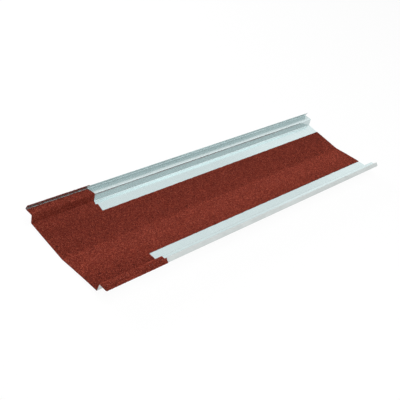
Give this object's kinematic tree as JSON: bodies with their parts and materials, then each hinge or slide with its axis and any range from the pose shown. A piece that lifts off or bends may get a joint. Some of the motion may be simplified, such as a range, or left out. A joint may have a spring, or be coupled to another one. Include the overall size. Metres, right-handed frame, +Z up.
{
  "type": "roof valley flashing",
  "caption": "Roof valley tray pressed from galvanised sheet: shallow V pan, leaning upstands, ledges with returned lips, and a red-brown stone-chip coating masked back at the sides.",
  "frame": {"origin": "on the floor below the middle of the tray, under the centre bend", "axes": "+X up the valley from the fully coated lower end to the upper end, +Y across the tray, +Z up out of the trough"},
  "size_m": [1.25, 0.3508, 0.0542],
  "materials": {
    "galvanised_steel": "satin hot-dip metallic coating with a fine spangle, pale and slightly blue",
    "stone_chips": "matt red-brown crushed stone chips bonded in resin"
  },
  "bodies": {
    "root": {"steel_sheet": "galvanised_steel", "stone_coating": "stone_chips"}
  },
  "joints": []
}
